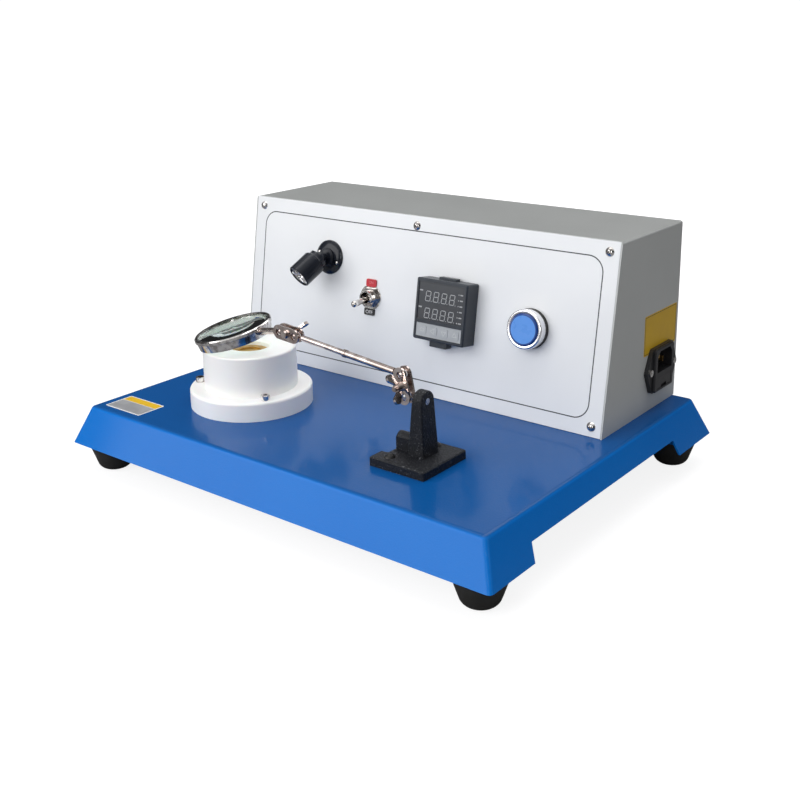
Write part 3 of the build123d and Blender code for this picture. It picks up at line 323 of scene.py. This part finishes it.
steel = shade(
    "steel", (0.66, 0.66, 0.67), (0.55, 0.55, 0.57), grain=300.0, metallic=1.0,
    roughness=(0.22, 0.36), bump=(1500.0, 0.08, 0.0001),
)
# Painted reflection: the dark clouds in the colour stand in for dark reflections on the chrome
chrome = shade(
    "chrome", (0.84, 0.82, 0.80), (0.44, 0.41, 0.39), grain=210.0, metallic=1.0,
    roughness=(0.08, 0.18), bump=(500.0, 0.08, 0.0002), spread=(0.38, 0.62),
)
bright_collar = shade(
    "bright_collar", (0.93, 0.93, 0.95), (0.88, 0.88, 0.91), grain=90.0, metallic=1.0,
    roughness=(0.2, 0.28), bump=(400.0, 0.03, 0.0001),
)
# Painted reflection: the dark clouds in the colour stand in for dark reflections on the plated
# parts
warm_chrome = shade(
    "warm_chrome", (0.78, 0.70, 0.66), (0.45, 0.37, 0.34), grain=110.0, metallic=1.0,
    roughness=(0.12, 0.22), bump=(600.0, 0.1, 0.0002), spread=(0.35, 0.65),
)
black_gloss = shade(
    "black_gloss", (0.011, 0.014, 0.022), (0.008, 0.010, 0.016), grain=60.0,
    roughness=(0.2, 0.28), bump=(420.0, 0.06, 0.0002), Specular_IOR_Level=0.3,
    Coat_Weight=0.12, Coat_Roughness=0.08,
)
dark_plastic = shade(
    "dark_plastic", (0.024, 0.031, 0.043), (0.020, 0.026, 0.036), grain=90.0,
    roughness=(0.34, 0.44), bump=(1300.0, 0.12, 0.0002),
)
inlet_plastic = shade(
    "inlet_plastic", (0.018, 0.018, 0.02), (0.013, 0.013, 0.015), grain=80.0,
    roughness=(0.3, 0.42), bump=(1200.0, 0.14, 0.0002),
)
window_dark = shade(
    "window_dark", (0.055, 0.06, 0.068), (0.048, 0.052, 0.06), grain=30.0,
    roughness=(0.16, 0.22), bump=(200.0, 0.02, 0.0002), Coat_Weight=0.3,
)
key_film = shade(
    "key_film", (0.44, 0.46, 0.48), (0.40, 0.42, 0.44), grain=70.0,
    roughness=(0.34, 0.42), bump=(900.0, 0.06, 0.0002),
)
print_pale = shade(
    "print_pale", (0.42, 0.43, 0.44), (0.36, 0.37, 0.38), grain=500.0, roughness=(0.4, 0.5),
)
print_white = shade(
    "print_white", (0.80, 0.80, 0.80), (0.72, 0.72, 0.72), grain=500.0, roughness=(0.4, 0.5),
)
print_key = shade(
    "print_key", (0.60, 0.62, 0.61), (0.54, 0.56, 0.55), grain=500.0, roughness=(0.4, 0.5),
)
print_rose = shade(
    "print_rose", (0.70, 0.16, 0.18), (0.62, 0.13, 0.15), grain=500.0, roughness=(0.4, 0.5),
)
print_grey = shade(
    "print_grey", (0.04, 0.044, 0.052), (0.03, 0.033, 0.04), grain=400.0, roughness=(0.4, 0.5),
)
slot_dark = shade(
    "slot_dark", (0.02, 0.02, 0.02), (0.01, 0.01, 0.01), grain=900.0, roughness=(0.5, 0.6),
)
tab_red = shade(
    "tab_red", (0.56, 0.02, 0.035), (0.47, 0.015, 0.028), grain=300.0, roughness=(0.3, 0.42),
)
tab_black = shade(
    "tab_black", (0.014, 0.014, 0.014), (0.01, 0.01, 0.01), grain=300.0, roughness=(0.3, 0.42),
)
ptfe = shade(
    "ptfe", (0.97, 0.965, 0.955), (0.94, 0.935, 0.925), grain=26.0,
    roughness=(0.34, 0.44), bump=(500.0, 0.05, 0.0002),
    Subsurface_Weight=0.12, Subsurface_Scale=0.004,
)
brass = shade(
    "brass", (0.66, 0.43, 0.14), (0.50, 0.30, 0.09), grain=160.0, metallic=1.0,
    roughness=(0.26, 0.42), bump=(900.0, 0.14, 0.0002),
)
# Painted highlights: the light speckles in the colour stand in for glints on the black cast
# finish
cast_black = shade(
    "cast_black", (0.15, 0.155, 0.17), (0.006, 0.007, 0.010), grain=1000.0,
    roughness=(0.42, 0.56), bump=(750.0, 0.8, 0.0008), detail=4.0, spread=(0.60, 0.74),
    Specular_IOR_Level=0.3,
)
black_steel = shade(
    "black_steel", (0.045, 0.043, 0.042), (0.02, 0.02, 0.02), grain=500.0, metallic=0.7,
    roughness=(0.36, 0.5), bump=(1200.0, 0.2, 0.0002),
)
glass = shade(
    "glass", (0.88, 0.965, 0.93), (0.85, 0.95, 0.91), grain=10.0, roughness=(0.0, 0.015),
    bump=(60.0, 0.01, 0.0001), Transmission_Weight=1.0, IOR=1.5,
)
clear_shadows(glass, (0.9, 0.95, 0.93))
lamp_glass = shade(
    "lamp_glass", (0.97, 0.98, 1.0), (0.95, 0.96, 0.98), grain=30.0, roughness=(0.01, 0.04),
    bump=(380.0, 0.12, 0.0004), Transmission_Weight=1.0, IOR=1.45,
)
clear_shadows(lamp_glass, (0.95, 0.95, 0.95))
circuit = shade(
    "circuit", (0.80, 0.72, 0.25), (0.70, 0.66, 0.40), grain=400.0, roughness=(0.3, 0.4),
)
relay_white = shade(
    "relay_white", (0.72, 0.71, 0.66), (0.68, 0.67, 0.62), grain=60.0, roughness=(0.42, 0.5),
)
sticker_yellow = shade(
    "sticker_yellow", (0.74, 0.46, 0.015), (0.69, 0.42, 0.012), grain=60.0,
    roughness=(0.36, 0.46), bump=(300.0, 0.05, 0.0002),
)
sticker_silver = shade(
    "sticker_silver", (0.60, 0.61, 0.63), (0.50, 0.51, 0.53), grain=80.0, metallic=0.55,
    roughness=(0.3, 0.42), bump=(300.0, 0.06, 0.0002),
)
floor_white = shade(
    "floor_white", (0.26, 0.26, 0.265), (0.25, 0.25, 0.255), grain=1.5,
    roughness=(0.75, 0.85), bump=(40.0, 0.01, 0.0002), Specular_IOR_Level=0.1,
)

# The push button's cap: light face with a darker edge
button_blue = shade(
    "button_blue", (0.10, 0.33, 0.84), (0.09, 0.30, 0.79), grain=60.0,
    roughness=(0.24, 0.32), bump=(300.0, 0.03, 0.0002), Coat_Weight=0.3,
)
tree = button_blue.node_tree
surface = tree.nodes["Principled BSDF"]
face_colour = surface.inputs["Base Color"].links[0].from_socket
places = tree.nodes.new("ShaderNodeTexCoord")
away = tree.nodes.new("ShaderNodeVectorMath")
away.operation = "DISTANCE"
away.inputs[1].default_value = panel_plane(*BUTTON)[0]
tree.links.new(places.outputs["Object"], away.inputs[0])
edge = tree.nodes.new("ShaderNodeMapRange")
edge.inputs["From Min"].default_value = 0.0106
edge.inputs["From Max"].default_value = 0.0103
tree.links.new(away.outputs["Value"], edge.inputs["Value"])
blend_colours = tree.nodes.new("ShaderNodeMix")
blend_colours.data_type = "RGBA"
blend_colours.inputs[6].default_value = (0.003, 0.05, 0.26, 1.0)
tree.links.new(edge.outputs["Result"], blend_colours.inputs[0])
tree.links.new(face_colour, blend_colours.inputs[7])
tree.links.new(blend_colours.outputs[2], surface.inputs["Base Color"])

NODE_MATERIALS = {
    blue_paint: ("base_tray", "corner_plates"),
    rubber: ("rubber_feet", "button_gasket"),
    steel: (
        "foot_screws", "foot_nuts", "under_base_nuts", "cabinet_screws", "heater_cartridge",
        "sensor_probe", "pivot_stud", "lamp_supply",
    ),
    grey_paint: ("cabinet_cover", "rear_panel"),
    white_panel: ("front_panel",),
    chrome: (
        "panel_screws", "rear_screws", "lamp_screws", "switch_body", "switch_plate",
        "switch_nut", "switch_lever", "button_nut", "inlet_screws", "stage_screws",
        "lens_ring",
    ),
    bright_collar: ("button_collar",),
    warm_chrome: (
        "lower_clamp_plates", "lower_clamp_screw", "lower_wing_nut", "arm_rod",
        "upper_clamp_plates", "upper_clamp_screw", "upper_wing_nut", "lens_rod",
    ),
    black_gloss: ("lamp_flange", "lamp_neck", "lamp_head"),
    lamp_glass: ("lamp_lens",),
    circuit: ("lamp_led",),
    dark_plastic: ("controller_case", "controller_bracket", "contact_block", "terminal_block"),
    window_dark: ("controller_window",),
    key_film: ("controller_keypad",),
    button_blue: ("button_cap",),
    inlet_plastic: ("inlet_body", "fuse_drawer"),
    brass: ("inlet_pins", "heating_block"),
    glass: ("fuse", "lens_glass"),
    ptfe: ("stage_housing",),
    cast_black: ("bracket",),
    black_steel: ("bracket_screws",),
    relay_white: ("solid_state_relay",),
}
for material, names in NODE_MATERIALS.items():
    for name in names:
        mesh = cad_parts[name].data
        if not mesh.materials:
            mesh.materials.append(material)
        for index in range(len(mesh.materials)):
            mesh.materials[index] = material

# Printed line round the front panel
border_middle_v = 70.5
border_width, border_height, border_radius = 331.0, 117.5, 12.0
line_width = 0.85


def border(growth):
    """The middle of the printed line, grown by a distance on each side."""
    return rounded(
        border_width + 2 * growth, border_height + 2 * growth, border_radius + growth, steps=10
    )


band(
    "panel_border", panel_plane(0, border_middle_v),
    border(line_width / 2), border(-line_width / 2), 0.0, PRINT, print_grey,
)

# Screw slots
head_radius, head_height = 3.6, 2.2
first_turn, turn_step = 0.4, 0.7
panel_heads = [
    (panel_plane(u, v), head_radius, head_height, first_turn + turn_step * k)
    for k, (u, v) in enumerate((u, v) for u in (-SCREW_U, 0, SCREW_U) for v in SCREW_V)
]
crosses("panel_screw_slots", panel_heads, 1.9, slot_dark)

rear_low, rear_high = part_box("rear_screws")
rear_radius, rear_height = 3.0, 1.8
rear_inset = rear_radius * MM
rear_axes = (Vector((-1, 0, 0)), Vector((0, 0, 1)), Vector((0, 1, 0)))
rear_heads = []
for x in (rear_low.x + rear_inset, (rear_low.x + rear_high.x) / 2, rear_high.x - rear_inset):
    for z in (rear_low.z + rear_inset, rear_high.z - rear_inset):
        plane = (Vector((x, CABINET_BACK, z)), *rear_axes)
        rear_heads.append((plane, rear_radius, rear_height, 300 * x))
crosses("rear_screw_slots", rear_heads, 1.6, slot_dark)

inlet_radius, inlet_dome, inlet_head_out = 2.6, 0.4, 4.0
inlet_heads = [
    (
        wall_plane(INLET[0] + side * INLET_SCREW_SPACING / 2, INLET[1], inlet_head_out),
        inlet_radius, inlet_dome, side * 0.5,
    )
    for side in (-1, 1)
]
crosses("inlet_screw_slots", inlet_heads, 1.7, slot_dark)

# Toggle switch: painted tabs with plain lettering
tab_width, tab_low, tab_high = 10.4, 0.1, 1.3
word_out = tab_high + 0.02
on_tab = rounded(tab_width, 6.4, 1.6, (0, 11.8))
off_tab = rounded(tab_width, 5.6, 1.0, (0, -12.0))
prisms("switch_on_tab", [(panel_plane(*SWITCH), on_tab, tab_low, tab_high)], tab_red)
prisms("switch_off_tab", [(panel_plane(*SWITCH), off_tab, tab_low, tab_high)], tab_black)
for name, word, v, size, material in (
    ("switch_on_word", "ON", 12.1, 3.2, print_rose),
    ("switch_off_word", "OFF", -12.3, 4.2, print_white),
):
    lettering(name, word, panel_plane(SWITCH[0], SWITCH[1] + v, word_out), size, material)

# Controller: unlit digits, small marks and key symbols
digit_height, digit_width = 7.6, 4.3
digit_rows = (10.5, -2.7)
digit_columns, first_digit, digit_pitch = 4, -12.3, 7.5
stroke, stroke_gap = 0.6, 0.3
slant = 0.10


def segment_bar(length, upright):
    """A pointed bar of a digit, centred on zero."""
    half, thick = length / 2, stroke / 2
    bar = [
        (-half, 0), (-half + thick, thick), (half - thick, thick),
        (half, 0), (half - thick, -thick), (-half + thick, -thick),
    ]
    return [(-v, u) for u, v in bar] if upright else bar


# The lower clip of the frame that holds the controller in the panel
clip_low, clip_high = 3.0, 10.0
clip = rounded(16.0, 5.4, 0.8, (-2.5, -26.4))
prisms("controller_clip", [(panel_plane(*CONTROLLER), clip, clip_low, clip_high)], dark_plastic)

half_u, half_v = digit_width / 2, digit_height / 2
lying = segment_bar(digit_width - stroke_gap, False)
standing = segment_bar(half_v - stroke_gap, True)
digit = [moved(lying, 0, v) for v in (-half_v, 0, half_v)]
digit += [moved(standing, u, v) for u in (-half_u, half_u) for v in (-half_v / 2, half_v / 2)]
digit = [moved(bar, 0, 0, slant) for bar in digit]
digit.append(rounded(0.7, 0.7, 0.3, (half_u + 1.0, -half_v), 3))
window_marks = []
for row_v in digit_rows:
    for column in range(digit_columns):
        u = CONTROLLER[0] + first_digit + digit_pitch * column
        plane = panel_plane(u, CONTROLLER[1] + row_v, WINDOW_OUT)
        window_marks += [(plane, outline, 0.0, PRINT) for outline in digit]
prisms("display_segments", window_marks, print_pale)

# Dots and dashes in place of the small words beside the digits
mark_count, first_mark, mark_pitch = 6, 15.3, 4.35
mark_outlines = []
for row in range(mark_count):
    v = first_mark - mark_pitch * row
    mark_outlines.append(rounded(0.9, 0.9, 0.4, (16.2, v), 3))
    mark_outlines.append(rounded(2.6, 0.9, 0.2, (18.8, v), 2))
for v in (14.4, 1.4):
    mark_outlines.append(rounded(3.0, 1.1, 0.25, (-19.2, v), 2))
window_middle = panel_plane(*CONTROLLER, WINDOW_OUT)
small_marks = [(window_middle, outline, 0.0, PRINT) for outline in mark_outlines]
prisms("display_marks", small_marks, print_pale)


def triangle(size, turn, middle):
    """The corners of a triangle that points one way."""
    return [
        (
            middle[0] + size * math.cos(turn + k * 2 * math.pi / 3),
            middle[1] + size * math.sin(turn + k * 2 * math.pi / 3),
        )
        for k in range(3)
    ]


first_key, key_pitch, key_v = -15.3, 10.2, -16.1
key_plane = panel_plane(*CONTROLLER, KEY_OUT)
turns = {"left": math.pi, "down": -math.pi / 2, "up": math.pi / 2}
for column, (label, turn) in enumerate(turns.items(), start=1):
    middle = (first_key + key_pitch * column, key_v)
    band(
        "key_" + label, key_plane, triangle(2.7, turn, middle), triangle(1.9, turn, middle),
        0.0, PRINT, print_key,
    )
set_key = (first_key, key_v)
band(
    "key_set", key_plane, rounded(4.2, 2.6, 1.2, set_key), rounded(3.4, 1.8, 0.8, set_key),
    0.0, PRINT, print_key,
)

# Blank stickers
wall_sticker = (115.0, 113.0)
wall_width, wall_height = 54.0, 31.0
sheet = rounded(wall_width, wall_height, 1.2)
prisms("wall_sticker", [(wall_plane(*wall_sticker), sheet, 0.0, STICKER)], sticker_yellow)
line_inset, line_width = 1.8, 0.8
band(
    "wall_sticker_line", wall_plane(*wall_sticker, STICKER),
    rounded(wall_width - line_inset, wall_height - line_inset, 0.8),
    rounded(wall_width - line_inset - line_width, wall_height - line_inset - line_width, 0.5),
    0.0, PRINT, print_grey,
)
base_sticker = (-157.75, -124.75)
sheet = rounded(40.5, 25.5, 1.2)
prisms("base_sticker", [(top_plane(*base_sticker), sheet, 0.0, STICKER)], print_white)
field_width = 38.3
for name, height, v, material in (
    ("base_sticker_field", 15.4, -3.9, sticker_silver),
    ("base_sticker_band", 7.4, 8.0, sticker_yellow),
):
    field = rounded(field_width, height, 0.4, (0, v))
    prisms(name, [(top_plane(*base_sticker, STICKER), field, 0.0, PRINT)], material)


# Lamp: a bright reflector cup behind the lens
def cup(name, profile, origin, aim, material, body, turns=48):
    """A turned thin shell from radius and height pairs, in millimetres."""
    side = aim.orthogonal().normalized()
    other = aim.cross(side)
    points, faces = [], []
    for radius, height in profile:
        for k in range(turns):
            angle = 2 * math.pi * k / turns
            spoke = math.cos(angle) * side + math.sin(angle) * other
            points.append(origin + MM * (radius * spoke + height * aim))
    for ring in range(len(profile) - 1):
        for k in range(turns):
            after = (k + 1) % turns
            here, there = ring * turns, (ring + 1) * turns
            faces.append([here + k, here + after, there + after, there + k])
    return piece(name, points, faces, material, body, smooth=True)


lamp_pivot = panel_plane(*LAMP, LAMP_BALL_OUT)[0]
cup(
    "lamp_reflector",
    ((2.9, 12.4), (3.4, 15.2), (5.0, 17.8), (7.4, 20.0), (8.9, 21.0), (9.0, 20.8), (5.3, 17.2),
     (3.7, 14.8), (3.1, 12.4)),
    lamp_pivot, LAMP_AIM, chrome, "lamp_head",
)

# Studio: a pale floor and soft lights
floor_half = 30.0
floor_mesh = bpy.data.meshes.new("studio_floor")
floor_mesh.from_pydata(
    [(sx * floor_half, sy * floor_half, 0) for sx, sy in ((-1, -1), (1, -1), (1, 1), (-1, 1))],
    [], [(0, 1, 2, 3)],
)
floor_mesh.materials.append(floor_white)
floor = bpy.data.objects.new("studio_floor", floor_mesh)
bpy.context.scene.collection.objects.link(floor)

tree = floor_white.node_tree
path = tree.nodes.new("ShaderNodeLightPath")
glow = tree.nodes.new("ShaderNodeEmission")
ground = tree.nodes.new("ShaderNodeTexCoord")
far = tree.nodes.new("ShaderNodeVectorMath")
far.operation = "LENGTH"
tree.links.new(ground.outputs["Object"], far.inputs[0])
level = tree.nodes.new("ShaderNodeMapRange")
level.interpolation_type = "SMOOTHSTEP"
level.inputs["From Min"].default_value = 0.30
level.inputs["From Max"].default_value = 1.10
level.inputs["To Min"].default_value = 0.86
level.inputs["To Max"].default_value = 1.05
tree.links.new(far.outputs["Value"], level.inputs["Value"])
tree.links.new(level.outputs["Result"], glow.inputs["Strength"])
both = tree.nodes.new("ShaderNodeAddShader")
seen = tree.nodes.new("ShaderNodeMixShader")
surface = tree.nodes["Principled BSDF"]
tree.links.new(surface.outputs["BSDF"], both.inputs[0])
tree.links.new(glow.outputs["Emission"], both.inputs[1])
tree.links.new(path.outputs["Is Camera Ray"], seen.inputs["Fac"])
tree.links.new(surface.outputs["BSDF"], seen.inputs[1])
tree.links.new(both.outputs["Shader"], seen.inputs[2])
tree.links.new(seen.outputs["Shader"], tree.nodes["Material Output"].inputs["Surface"])

world = bpy.data.worlds.new("studio")
bpy.context.scene.world = world
world.use_nodes = True
tree = world.node_tree
background = tree.nodes["Background"]
white = tree.nodes.new("ShaderNodeBackground")
white.inputs["Color"].default_value = (1.0, 1.0, 1.0, 1.0)
white.inputs["Strength"].default_value = 1.05
sky = tree.nodes.new("ShaderNodeTexCoord")
split = tree.nodes.new("ShaderNodeSeparateXYZ")
tree.links.new(sky.outputs["Generated"], split.inputs["Vector"])
fade = tree.nodes.new("ShaderNodeValToRGB")
fade.color_ramp.elements[0].position = 0.0
fade.color_ramp.elements[0].color = (0.04, 0.041, 0.043, 1.0)
fade.color_ramp.elements[1].position = 0.92
fade.color_ramp.elements[1].color = (0.85, 0.85, 0.85, 1.0)
between = fade.color_ramp.elements.new(0.5)
between.color = (0.11, 0.111, 0.114, 1.0)
tree.links.new(split.outputs["Z"], fade.inputs["Fac"])
tree.links.new(fade.outputs["Color"], background.inputs["Color"])
background.inputs["Strength"].default_value = 1.0
path = tree.nodes.new("ShaderNodeLightPath")
choice = tree.nodes.new("ShaderNodeMixShader")
tree.links.new(path.outputs["Is Camera Ray"], choice.inputs["Fac"])
tree.links.new(background.outputs["Background"], choice.inputs[1])
tree.links.new(white.outputs["Background"], choice.inputs[2])
tree.links.new(choice.outputs["Shader"], tree.nodes["World Output"].inputs["Surface"])


def softbox(name, place, target, size, power):
    """A rectangular soft light aimed at a point."""
    data = bpy.data.lights.new(name, "AREA")
    data.shape = "RECTANGLE"
    data.size, data.size_y = size
    data.energy = power
    lamp = bpy.data.objects.new(name, data)
    lamp.location = place
    lamp.rotation_euler = (Vector(target) - Vector(place)).to_track_quat("-Z", "Y").to_euler()
    bpy.context.scene.collection.objects.link(lamp)


for light in (
    ("key_light", (-0.7, -1.9, 1.0), (0.0, 0.0, 0.08), (2.6, 1.8), 40.0),
    ("top_light", (-0.1, 0.2, 1.9), (0.0, 0.0, 0.0), (1.6, 1.2), 11.0),
    ("side_light", (1.9, 0.4, 0.9), (0.1, 0.0, 0.1), (0.8, 0.8), 1.6),
    ("back_light", (0.0, 1.6, 1.7), (0.0, 0.1, 0.1), (1.2, 0.8), 6.0),
    ("edge_light", (1.24, -1.6, 0.73), (0.18, -0.15, 0.02), (0.12, 1.0), 4.5),
):
    softbox(*light)

# Camera
CAMERA_PLACE = (0.50998, -0.62871, 0.35116)
CAMERA_YAW, CAMERA_PITCH, CAMERA_ROLL = -0.671, 0.273, -0.0156
CAMERA_LENS = 49.31
CAMERA_SHIFT = (-0.0006, -0.1087)
forward = Vector((
    math.sin(CAMERA_YAW) * math.cos(CAMERA_PITCH),
    math.cos(CAMERA_YAW) * math.cos(CAMERA_PITCH),
    -math.sin(CAMERA_PITCH),
))
right = Vector((math.cos(CAMERA_YAW), -math.sin(CAMERA_YAW), 0.0))
up = right.cross(forward)
tilted_right = right * math.cos(CAMERA_ROLL) + up * math.sin(CAMERA_ROLL)
tilted_up = tilted_right.cross(forward)
camera_data = bpy.data.cameras.new("camera")
camera_data.sensor_width = 36.0
camera_data.lens = CAMERA_LENS
camera_data.shift_x, camera_data.shift_y = CAMERA_SHIFT
camera = bpy.data.objects.new("camera", camera_data)
turn = Matrix((tilted_right, tilted_up, -forward)).transposed().to_4x4()
camera.matrix_world = Matrix.Translation(CAMERA_PLACE) @ turn
bpy.context.scene.collection.objects.link(camera)
bpy.context.scene.camera = camera
bpy.context.scene.view_settings.view_transform = "Standard"
